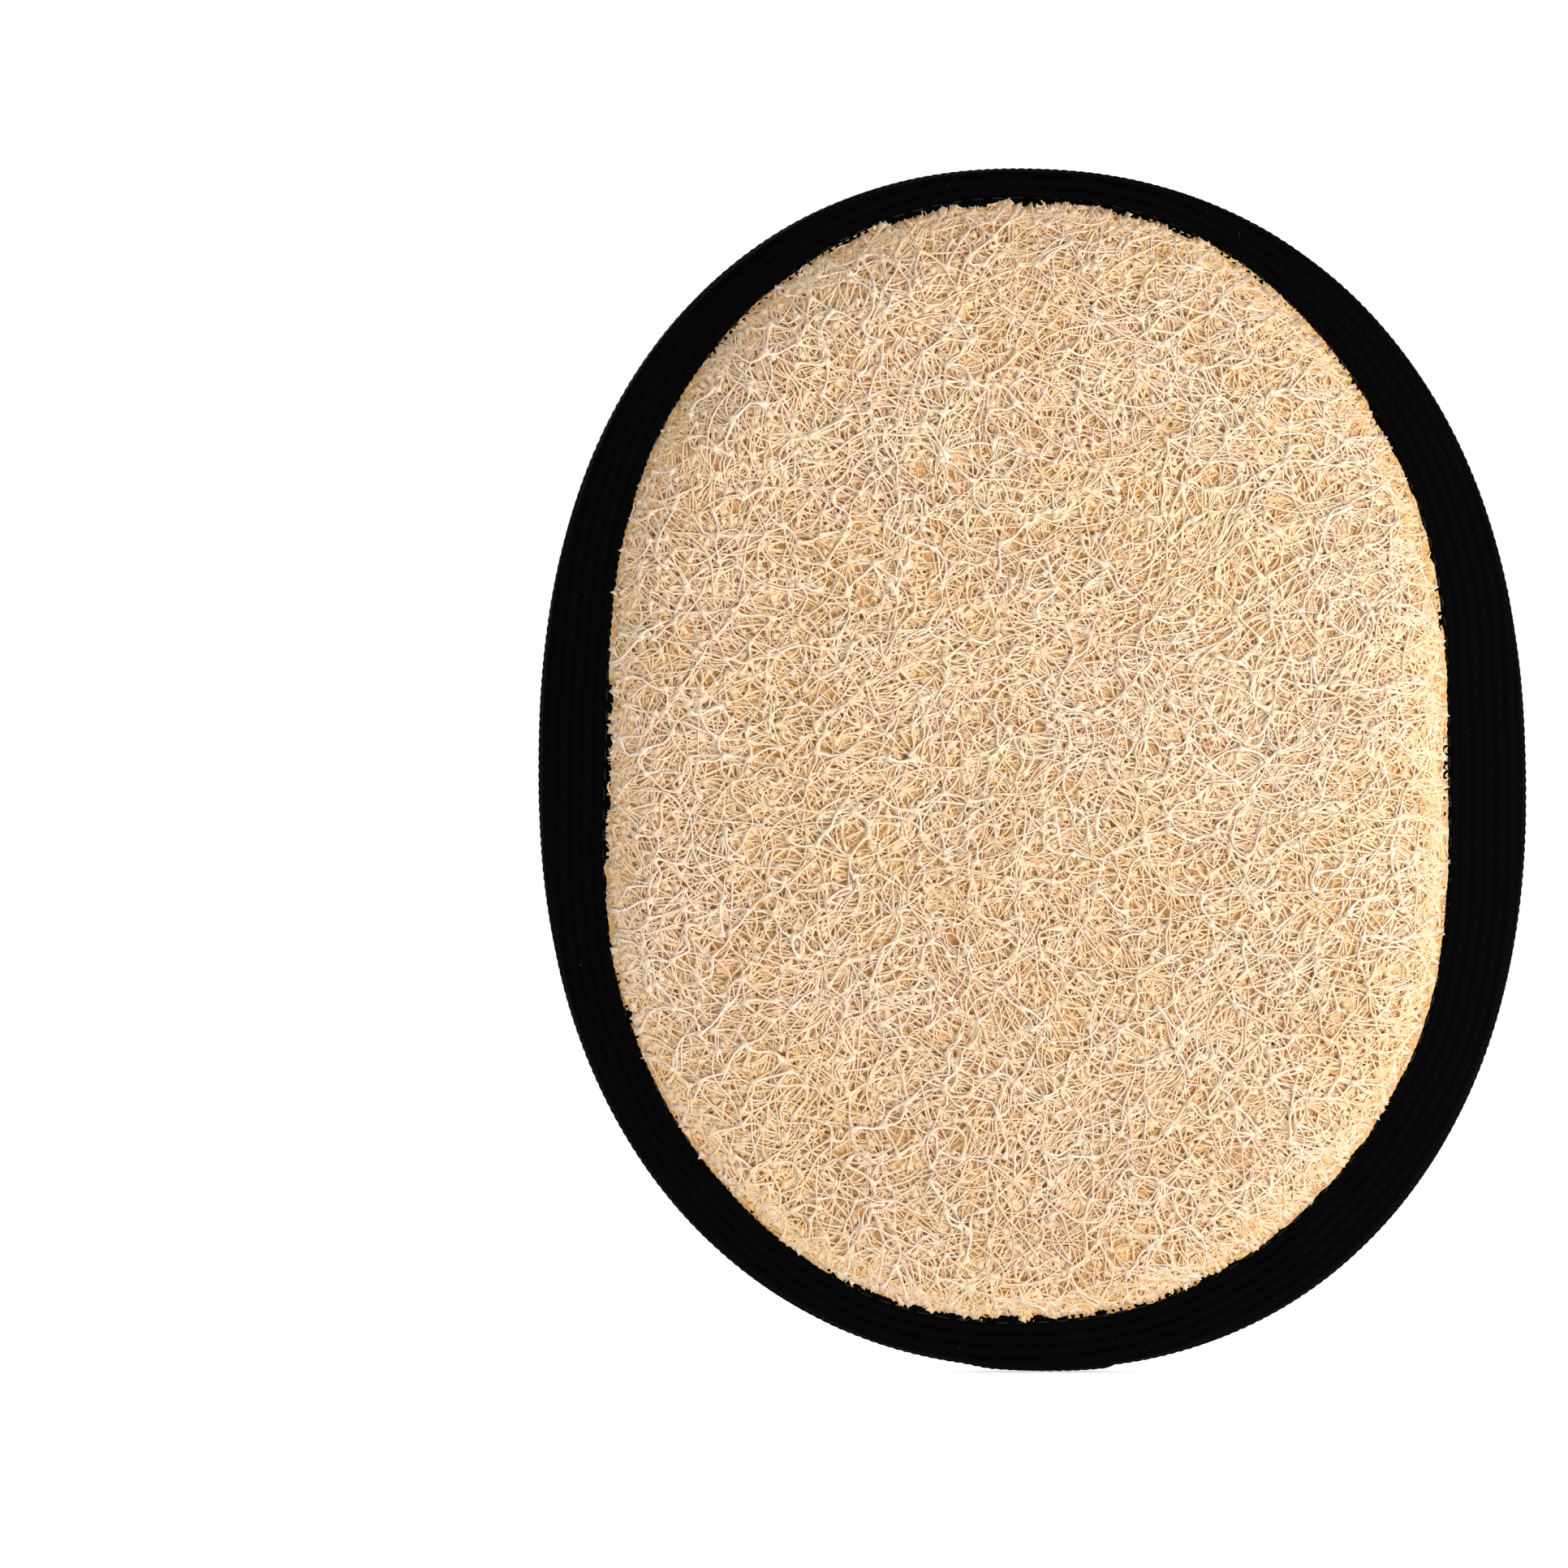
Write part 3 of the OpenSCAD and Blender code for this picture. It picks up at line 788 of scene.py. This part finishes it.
class Tufts:
    """The terry's tufts on an uneven grid: where each one stands, which way it leans and how tall it is."""

    def __init__(self, pitch, seed):
        rng = np.random.default_rng(seed)
        self.pitch = pitch
        self.low = np.array([-HALF_W, CENTRE_Z - HALF_H])
        self.size = np.ceil(np.array([2 * HALF_W, 2 * HALF_H]) / pitch).astype(int)
        i, j = np.meshgrid(np.arange(self.size[0]), np.arange(self.size[1]), indexing="ij")
        self.x = self.low[0] + (i + 0.5 + rng.uniform(-0.5, 0.5, i.shape)) * pitch
        self.z = self.low[1] + (j + 0.5 + rng.uniform(-0.5, 0.5, i.shape)) * pitch
        lie = 0.25 + 1.3 * uneven(self.x, self.z, 26, np.random.default_rng(202))
        heading = lie + rng.normal(0, 0.6, i.shape) + math.pi * (rng.random(i.shape) < 0.15)
        outward, _ = polar(self.x, self.z)
        edge = rng.random(i.shape) < np.clip(1.2 - back_inset(self.x, self.z) / 3.5, 0, 0.85)
        self.heading = np.where(edge, outward + rng.normal(0, 0.6, i.shape), heading)
        patches = 0.22 * uneven(self.x, self.z, 7, np.random.default_rng(205))
        self.height = rng.normal(0, 0.2, i.shape) + patches

    def relief(self, x, z):
        """The tufts' own share of the pile's height, about -0.9 to 0.1."""
        i = np.floor((x - self.low[0]) / self.pitch).astype(int)
        j = np.floor((z - self.low[1]) / self.pitch).astype(int)
        total = np.zeros(np.broadcast(x, z).shape)
        sharp = 7.0
        for di in range(-2, 3):
            for dj in range(-2, 3):
                cell = np.clip(i + di, 0, self.size[0] - 1), np.clip(j + dj, 0, self.size[1] - 1)
                dx, dz = x - self.x[cell], z - self.z[cell]
                c, s = np.cos(self.heading[cell]), np.sin(self.heading[cell])
                along, across = dx * c + dz * s, dz * c - dx * s
                dome = 0.12 * along - 0.45 * (along / 1.6) ** 2 - 0.45 * (across / 0.9) ** 2
                total = total + np.exp(sharp * np.maximum(self.height[cell] + dome, -4))
        return np.log(np.maximum(total, 1e-9)) / sharp - 0.4


def over_binding(x, z, level, radius):
    """Levels that stay on top of the binding where the pile spills over it."""
    return np.where(back_inset(x, z) < 0.4, np.maximum(level, BACK_FACE + 0.3 + radius), level)


def held_down(x, z):
    """Where the strap's ends and the loop's root press the pile flat."""
    under_tab = (np.abs(z) < STRAP_HALF_W + 0.4) & (np.abs(x) > HINGE_X - 3.5)
    return under_tab | ((np.abs(x - LOOP_X) < LOOP_HALF_W + 0.4) & (z > PIVOT_Z - 3.5))


def make_strands(name, tufts, each, part, parts, material, seed):
    """Fine strands that lie along the tufts. Each piece holds every so many of the tufts."""
    rng = np.random.default_rng(seed)
    inset = back_inset(tufts.x, tufts.z)
    mine = np.arange(inset.size).reshape(inset.shape) % parts == part
    keep = (inset > 0.3) & mine & ~held_down(tufts.x, tufts.z)
    x, z, heading = [np.repeat(v[keep], each)[:, None] for v in (tufts.x, tufts.z, tufts.heading)]
    shape = x.shape
    t = np.linspace(0, 1, 5)
    start, long = rng.uniform(-1.7, -0.7, shape), rng.uniform(1.9, 3.4, shape)
    along = start + long * t
    beside = rng.normal(0, 0.55, shape) * (1 - 0.6 * t)
    beside = beside + rng.normal(0, 0.34, shape) * np.sin(math.pi * (t * rng.uniform(0.8, 2.0, shape)))
    c, s = np.cos(heading), np.sin(heading)
    px, pz = x + along * c - beside * s, z + along * s + beside * c
    radii = rng.uniform(0.1, 0.19, shape) * (1 - 0.35 * t)
    lift = rng.uniform(-0.05, 0.25, shape) * np.sin(math.pi * t) - 0.12 * np.abs(2 * t - 1) ** 3
    level = terry_level(px, pz) + tufts.relief(px, pz) + lift
    level = np.minimum(level, pile_cap(px, pz) - radii)
    level = over_binding(px, pz, level, radii)
    tone = 0.68 + rng.normal(0, 0.07, shape) + 0 * t
    return tube_piece(name, at_level(px, pz, level), radii, tone, material)


def make_fringe(name, material, seed):
    """Curled tufts round the border, which spill over the binding's edge."""
    rng = np.random.default_rng(seed)
    clumps, each, steps = 430, 10, 8
    turn, _, _ = evenly_round(back_radius, clumps)
    turn = turn + rng.normal(0, 0.004, clumps)
    x, z, nx, nz = outline(turn, back_radius)
    sunk = rng.uniform(0.3, 2.2, clumps)
    x, z = x - nx * sunk, z - nz * sunk
    fullness = 0.5 + 0.4 * np.sin(23 * turn + 3 * np.sin(5 * turn))
    keep = ~held_down(x, z) & (rng.random(clumps) < fullness)
    x, z, outward = x[keep], z[keep], np.arctan2(nz, nx)[keep]
    heading = outward + rng.normal(0, 0.7, len(x))
    curl = rng.normal(0, 1.7, len(x))
    x, z, heading, curl = [np.repeat(v, each)[:, None] for v in (x, z, heading, curl)]
    shape = x.shape
    t = np.linspace(0, 1, steps)
    long = rng.uniform(1.0, 2.9, shape)
    bearing = heading + rng.normal(0, 0.3, shape) + (1.4 * curl + rng.normal(0, 0.6, shape)) * t
    px = x + rng.normal(0, 0.4, shape) + np.cumsum(np.cos(bearing), 1) * long / steps
    pz = z + rng.normal(0, 0.4, shape) + np.cumsum(np.sin(bearing), 1) * long / steps
    radii = rng.uniform(0.1, 0.17, shape) * (1 - 0.3 * t)
    lift = rng.uniform(0, 0.35, shape) * np.sin(math.pi * t ** 0.8)
    level = over_binding(px, pz, terry_level(px, pz) - 0.35, radii) + lift
    level = np.minimum(level, pile_cap(px, pz) - radii)
    tone = 0.62 + rng.normal(0, 0.08, shape) + 0 * t
    return tube_piece(name, at_level(px, pz, level), radii, tone, material)


def make_terry(materials):
    tufts = Tufts(1.9, 204)

    def ground_level(x, z):
        lumpy = terry_level(x, z) + tufts.relief(x, z) - 0.1
        return np.maximum(np.minimum(lumpy, pile_cap(x, z) - 0.3), 0.7)

    ground = make_pad_half(
        "terry_ground", back_radius, ground_level, TERRY_EDGE - 0.15, 1, materials["terry_ground"],
        rings=130, around=640)
    parts = 5
    piles = [make_strands("terry_pile_" + str(k + 1), tufts, 6, k, parts, materials["pile"], 31 + k)
             for k in range(parts)]
    piles.append(make_fringe("terry_fringe", materials["pile"], 41))
    settle(ground, "terry", "terry_cloth")
    for piece in piles:
        settle(piece, "terry")


# ---- the binding ----


def binding_section(front_w, back_w):
    """The tape's outer path from the front's inner edge, round the rim, to the back's inner edge."""
    corner = 2.7
    bulge = 0.28
    arc = np.linspace(-math.pi / 2, math.pi / 2, 40)
    flat = np.linspace(0, 1, 30)
    round_d = corner - corner * np.cos(arc) ** 0.85
    round_s = np.where(arc < 0, FRONT_FACE, BACK_FACE) * np.sin(arc)
    front_d = np.linspace(front_w, corner, 30)[:-1]
    back_d = np.linspace(corner, back_w, 30)[1:]
    front_s = -FRONT_FACE - bulge * np.sin(math.pi * flat[:-1])
    back_s = BACK_FACE + bulge * 0.6 * np.sin(math.pi * flat[1:])
    d = np.concatenate([front_d, round_d, back_d])
    s = np.concatenate([front_s, round_s, back_s])
    return np.stack([d, s], -1)


def near(value, place, width):
    """A smooth hump, 1 at its place."""
    return np.exp(-(((value - place) / width) ** 2))


def tape_relief(path, across, run, scallop, slack, lap):
    """How far the tape's surface stands off its plain section: ribs, the rolled rim, the seams' furrows, the
    beads along its edges, its slack and its lap."""
    d, s = path[:, 0], path[:, 1]
    from_front, from_back = across, across[-1] - across
    ribs = 0.17 * np.abs(np.sin(math.pi * across / WALE)) ** 0.8
    rim_share = near(d, 0.3, 1.3)
    rope = 0.16 * rim_share * np.abs(np.sin(math.pi * (run + 0.5 * s) / 1.3))
    groove = -0.42 * near(d, 2.3, 0.32) * (s > 1)
    seam = -0.3 * (near(from_back, SEAM_INSET, 0.3) + near(from_front, SEAM_INSET, 0.3))
    bead = 0.16 * scallop * (near(from_back, 0, 0.5) + near(from_front, 0, 0.5))
    loose = 0.12 * slack * (1 - rim_share)
    inside = across[-1] / 2 - np.abs(across - across[-1] / 2)
    return ribs + rope + groove + seam + bead + loose + lap * np.clip(inside / 0.8, 0, 1) ** 0.5


def make_binding(materials):
    rng = np.random.default_rng(31)
    stations, shown, hidden = 1540, 50, 12
    turn, run, length = evenly_round(rim_radius, stations)
    x, z, nx, nz = outline(turn, rim_radius)
    slack = [
        0.22 * sum(np.cos(TURN * count * run / length + rng.uniform(0, TURN)) for count in counts)
        for counts in ((5, 9, 14, 23), (6, 11, 17, 29), (4, 7, 13, 19))]
    scallop = np.abs(np.sin(math.pi * run / 1.35))
    front_w = rim_radius(turn) - front_radius(turn) + 0.35 * slack[0] + 0.3 * scallop
    back_w = rim_radius(turn) - back_radius(turn) + 0.7 * slack[1] + 0.35 * scallop
    lap = lap_height(turn)
    grid = np.empty((stations, shown + hidden, 3))
    weave = np.zeros((stations, shown + hidden, 3))
    under = np.linspace(0, 1, hidden)
    corners = [0, 0.42, 0.5, 0.58, 1]
    back_s, front_s = BACK_FACE - TAPE_T, TAPE_T - FRONT_FACE
    under_s = np.interp(under, corners, [back_s, back_s, 0, front_s, front_s])
    for k in range(stations):
        path, across = resampled(binding_section(front_w[k], back_w[k]), shown)
        slope = np.gradient(path, axis=0)
        normal = unit(np.stack([-slope[:, 1], slope[:, 0]], -1))
        relief = tape_relief(path, across, run[k], scallop[k], slack[2][k], lap[k])
        path = path + normal * relief[:, None]
        under_d = np.interp(under, corners, [back_w[k] - 0.15, 2.6, 1.3, 2.6, front_w[k] - 0.15])
        d = np.concatenate([path[:, 0], under_d])
        s = np.concatenate([path[:, 1], under_s])
        grid[k] = at_level(x[k] - nx[k] * d, z[k] - nz[k] * d, s)
        weave[k, :shown, 0] = run[k]
        weave[k, :shown, 1] = across
    faces = grid_faces(stations, shown + hidden, ring_rows=True)
    tape = new_mesh("edge_binding_tape", grid, [faces], materials["binding"], weave=weave.reshape(-1, 3))
    settle(tape, "binding_tape", "edge_binding")


# ---- the hand strap ----


def smoothed(values, window):
    """Values averaged over a soft window, with both ends held."""
    weights = np.hanning(window)
    padded = np.pad(values, window // 2, mode="edge")
    return np.convolve(padded, weights / weights.sum(), mode="valid")


def strap_line(count, end_x):
    """The strap's middle line from the pad's centre to its end under the binding: x and level."""
    x = np.linspace(0, end_x, 600)
    level = STRAP_S - STRAP_SLOPE * np.clip(x - STRAP_MIDDLE, 0, HINGE_X - STRAP_MIDDLE)
    level = smoothed(level - 1.9 * smooth_step((x - HINGE_X - 1.0) / 5), 61)
    level = level + 0.25 * np.cos(math.pi / 2 * np.clip(x / STRAP_MIDDLE, 0, 1))
    return resampled(np.stack([x, level], -1), count)


def make_strap_half(name, side, materials):
    """One half of the elastic: a ribbed top with toothed edges, and a plain underside."""
    stations, bottom = 370, 22
    line, run = strap_line(stations, STRAP_END)
    ahead = unit(np.gradient(line, axis=0))
    up = np.stack([-ahead[:, 1], ahead[:, 0]], -1)
    x = line[:, :1]
    half = STRAP_HALF_W - 1.5 * smooth_step((x - (HINGE_X - 0.5)) / 1.6)
    waver = 0.12 * np.cos(TURN * x / 31 + 0.6) + 0.08 * np.cos(TURN * x / 13)
    lower_teeth = 0.55 * np.abs(np.sin(math.pi * x / 0.8)) ** 0.8
    upper_teeth = 0.14 * np.abs(np.sin(math.pi * x / 0.8))
    top = np.linspace(1, -1, STRAP_RIBS * 5 + 1)
    z_top = half * top - lower_teeth * smooth_step((-top - 0.97) / 0.03)
    z_top = z_top + upper_teeth * smooth_step((top - 0.97) / 0.03) + waver
    ribs = 0.26 * np.abs(np.sin(math.pi * STRAP_RIBS * (top + 1) / 2)) ** 0.7
    crimp = 0.05 * np.sin(TURN * x / 0.92)
    lift = (STRAP_T / 2 - 0.2 + ribs + crimp) * np.sqrt(np.clip(1 - np.abs(top) ** 40, 0, 1))
    under = np.linspace(-1, 1, bottom + 2)[1:-1]
    z_under = half * under * 0.995 + waver
    drop = -(STRAP_T / 2 - 0.08) * np.sqrt(1 - np.abs(under) ** 30)
    z = np.concatenate([z_top, z_under], 1)
    off = np.concatenate([lift, np.broadcast_to(drop, z_under.shape)], 1)
    grid = at_level(side * (x + up[:, :1] * off), z, line[:, 1:] + up[:, 1:] * off)
    weave = np.stack([np.broadcast_to(side * run[:, None], z.shape), z + STRAP_HALF_W, 0 * z], -1)
    return tape_piece(name, grid, weave, materials["elastic"], side < 0), float(run[-1])


def tape_piece(name, grid, weave, material, mirrored=False):
    """A closed tape from a grid of rings, with a crisp cut at each end."""
    faces = grid_faces(*grid.shape[:2])
    middles, caps = end_caps(grid)
    if mirrored:
        faces, caps = faces[:, ::-1], caps[:, ::-1]
    points = np.concatenate([grid.reshape(-1, 3), middles])
    weave = np.concatenate([weave.reshape(-1, 3), 0 * middles])
    return new_mesh(name, points, [faces], material, weave=weave, caps=caps)


def make_strap(materials):
    for side, word in ((-1, "left"), (1, "right")):
        piece, length = make_strap_half("hand_strap_" + word, side, materials)
        middle = ["strap_middle"] if side > 0 else []
        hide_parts("strap_end_" + word, "strap_side_" + word, *middle)
        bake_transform(piece)


# ---- the hanging loop ----


def loop_line(count):
    """The loop tape's path, as level and height: down behind, round the eye and up in front."""
    half_t = 0.42
    eye_r, reach, lean = 2.2 + half_t, 16.4, math.radians(16.5)
    down = np.array([math.sin(lean), -math.cos(lean)])
    front = np.array([math.cos(lean), math.sin(lean)])
    pivot = np.array([PIVOT_S, PIVOT_Z])
    eye = pivot + reach * down
    root_s = (BACK_FACE + TERRY_EDGE) / 2 - 0.6
    arc = np.linspace(math.pi + 0.55, -0.55, 40)
    bottom = [eye + eye_r * (math.cos(a) * front + math.sin(a) * down) for a in arc]
    behind = [
        (root_s - half_t, LOOP_TOP), (root_s - half_t, LOOP_TOP - 3), (root_s + 0.5, PIVOT_Z + 3.0),
        *[pivot + down * d - front * half_t for d in (0.3, 3, 6)], pivot + down * 9 - front * 0.75]
    before = [
        pivot + down * 9 + front * 0.75, *[pivot + down * d + front * half_t for d in (6, 3, 0.3)],
        (root_s + 0.5 + 2 * half_t, PIVOT_Z + 3.2), (root_s + half_t, LOOP_TOP - 3),
        (root_s + half_t, LOOP_TOP)]
    line, _ = resampled(np.array([tuple(p) for p in behind + bottom + before]), 400)
    return resampled(np.stack([smoothed(line[:, k], 15) for k in range(2)], -1), count)


def make_loop(materials):
    line, run = loop_line(210)
    ahead = unit(np.gradient(line, axis=0))
    out = np.stack([-ahead[:, 1], ahead[:, 0]], -1)
    beads = 0.28 * np.abs(np.sin(math.pi * run / 1.2)) ** 0.8
    half = (LOOP_HALF_W - 0.15 + beads)[:, None]
    share = np.linspace(-1, 1, 49)
    wales = 0.11 * np.abs(np.sin(math.pi * 4 * (share + 1))) ** 0.8
    courses = 0.05 * np.sin(TURN * run / 0.82)[:, None]
    thick = (0.3 + wales + courses) * np.sqrt(np.clip(1 - np.abs(share) ** 24, 0, 1))
    under = np.linspace(1, -1, 14)[1:-1]
    under_x = half * under * 0.99
    under_off = np.broadcast_to(-0.32 * np.sqrt(1 - np.abs(under) ** 16), under_x.shape)
    x = LOOP_X + np.concatenate([half * share, under_x], 1)
    off = np.concatenate([thick, under_off], 1)
    z = line[:, 1:] + out[:, 1:] * off
    sag = 0.25 * np.sin(TURN * (x - LOOP_X) / 17 + 0.5) * smooth_step((PIVOT_Z - z) / 14)
    grid = at_level(x, z + sag, line[:, :1] + out[:, :1] * off)
    weave = np.stack([np.broadcast_to(run[:, None], x.shape), x - LOOP_X + LOOP_HALF_W, 0 * x], -1)
    piece = tape_piece("hanging_loop_tape", grid, weave, materials["loop"])
    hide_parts("hanging_loop", "loop_root")
    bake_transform(piece)


# ---- the threads ----


def make_stitches(name, node, middles, alongs, out, length, radii, materials):
    """Short stitches that dip into the cloth at both ends, one at each middle."""
    t = np.linspace(-1, 1, 9)
    paths = middles[:, None] + alongs[:, None] * (t * length / 2)[:, None] - out * (0.28 * t ** 4)[:, None]
    radii = np.full(paths.shape[:2], radii)
    piece = tube_piece(name, paths, radii, 0 * radii, materials["thread"], sides=6)
    settle(piece, "thread", node)


def make_seam(name, node, sign, materials):
    pitch = 3.0
    ends_taper = 0.19 * np.array([0.6, 0.85, 1, 1, 1, 1, 1, 0.85, 0.6])

    def seam_radius(turn):
        return back_radius(turn) + SEAM_INSET if sign > 0 else front_radius(turn) + SEAM_INSET

    _, _, length = evenly_round(seam_radius, 10)
    turn, _, _ = evenly_round(seam_radius, round(length / pitch))
    x, z, nx, nz = outline(turn, seam_radius)
    face = (BACK_FACE if sign > 0 else FRONT_FACE) + lap_height(turn) + 0.08
    middles = at_level(x, z, sign * face)
    alongs = np.stack([-nz, 0 * nx, nx], -1)
    out = np.array([0, sign, 0])
    make_stitches(name, node, middles, alongs, out, pitch * 0.76, ends_taper, materials)


def make_tack(materials, node, count, axis, margin, lift, degrees, length):
    """A row of stitches along one axis of the CAD's tack, which lean at the two angles by turns."""
    low, high = box_mm(node)
    middles = np.tile((low + high) / 2, (count, 1))
    middles[:, axis] = np.linspace(low[axis] + margin, high[axis] - margin, count)
    middles[:, 1] += lift
    lean = np.radians(np.where(np.arange(count) % 2, *degrees))
    alongs = np.stack([np.cos(lean), 0 * lean, np.sin(lean)], -1)
    make_stitches(node + "_thread", node, middles, alongs, np.array([0, 1, 0]), length, 0.18, materials)


# ---- studio ----


def make_floor():
    low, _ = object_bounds()
    size = 4.0
    corners = np.array([[-1, -1, 0], [1, -1, 0], [1, 1, 0], [-1, 1, 0]]) * size / 2 / MM
    corners[:, 2] = low[2] / MM
    floor = new_mesh("studio_floor", corners, [np.array([[0, 1, 2, 3]])], make_floor_material())


def make_area_light(name, place, size, power):
    """A square light that shines on the origin."""
    light = bpy.data.lights.new(name, "AREA")
    light.size, light.energy = size, power
    lamp = bpy.data.objects.new(name, light)
    lamp.location = place
    lamp.rotation_mode = "QUATERNION"
    lamp.rotation_quaternion = (Vector((0, 0, 0)) - Vector(place)).to_track_quat("-Z", "Y")
    bpy.context.scene.collection.objects.link(lamp)


def make_world(seen, lighting):
    """White all round: bright to the camera, and softer as a light."""
    world = bpy.data.worlds.new("studio")
    world.use_nodes = True
    tree = world.node_tree
    background = tree.nodes["Background"]
    background.inputs["Color"].default_value = (1, 1, 1, 1)
    path = tree.nodes.new("ShaderNodeLightPath")
    mix = tree.nodes.new("ShaderNodeMapRange")
    mix.inputs["To Min"].default_value = lighting
    mix.inputs["To Max"].default_value = seen
    tree.links.new(path.outputs["Is Camera Ray"], mix.inputs["Value"])
    tree.links.new(mix.outputs[0], background.inputs["Strength"])
    bpy.context.scene.world = world


def make_camera():
    """The photograph's view: straight onto the loofah, with the pad right of the middle."""
    frame_width, distance, left_by = 0.2348, 1.3, 0.0372
    camera = bpy.data.cameras.new("photo_camera")
    camera.sensor_width = 36
    camera.lens = camera.sensor_width * distance / frame_width
    camera.clip_start, camera.clip_end = 0.05, 20
    eye = bpy.data.objects.new("photo_camera", camera)
    eye.location = (-left_by, (SEAM_Y - FRONT_FACE) * MM - distance, 0)
    eye.rotation_euler = (math.pi / 2, 0, 0)
    bpy.context.scene.collection.objects.link(eye)
    bpy.context.scene.camera = eye


def main():
    bpy.context.scene.view_settings.view_transform = "Standard"
    make_camera()
    make_world(seen=1.05, lighting=0.55)
    make_area_light("key_light", (0.26, -0.32, 0.05), 0.26, 1.08)
    make_area_light("fill_light", (-0.8, -0.9, 0.2), 0.8, 0.6)
    make_area_light("back_light", (-0.5, 0.9, 0.6), 0.6, 5.8)
    materials = {
        "fibre": make_fibre_material(),
        "loofah_body": make_loofah_body_material(),
        "pile": make_pile_material(),
        "terry_ground": make_terry_ground_material(),
        "binding": make_knit_material("binding_knit", WALE, 0.82, srgb(0, 0, 0), srgb(7, 6, 6)),
        "loop": make_knit_material("loop_knit", 1.83, 0.82, srgb(1, 1, 1), srgb(14, 12, 13)),
        "elastic": make_elastic_material(),
        "thread": make_thread_material(),
    }
    body = make_loofah(materials)
    make_terry(materials)
    make_binding(materials)
    make_strap(materials)
    make_loop(materials)
    make_seam("seam_thread_front", "binding_stitches_front", -1, materials)
    make_seam("seam_thread_back", "binding_stitches_back", 1, materials)
    for side in ("left", "right"):
        make_tack(materials, "strap_tack_" + side, count=30, axis=2, margin=0.8, lift=-0.05,
                  degrees=(22, -22), length=1.9)
    make_tack(materials, "loop_tack", count=12, axis=0, margin=0.5, lift=0.1, degrees=(68, 112), length=1.8)
    make_floor()


main()
